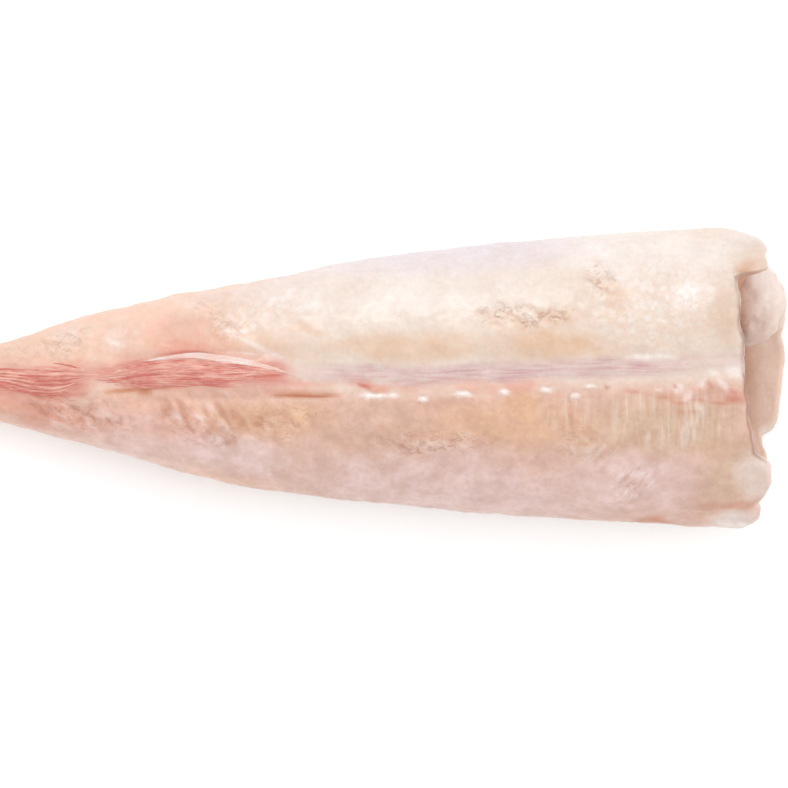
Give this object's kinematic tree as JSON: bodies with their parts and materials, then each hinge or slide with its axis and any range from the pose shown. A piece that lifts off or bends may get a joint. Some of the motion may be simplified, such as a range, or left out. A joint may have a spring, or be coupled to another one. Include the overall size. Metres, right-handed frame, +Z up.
{
  "type": "monkfish tail",
  "caption": "Skinned, headless frozen monkfish tail lying on its belly, tapering to a blunt thin end, with a grooved back, red fin muscles and belly flaps at the cut end.",
  "frame": {"origin": "centre of the bounding box, at the level of the belly's flat underside", "axes": "+X from the thin end to the cut head end, +Y to the left loin, +Z up out of the back"},
  "size_m": [0.3304, 0.1126, 0.0526],
  "materials": {
    "flesh": null
  },
  "bodies": {
    "root": {"monkfish_tail": "flesh"}
  },
  "joints": []
}
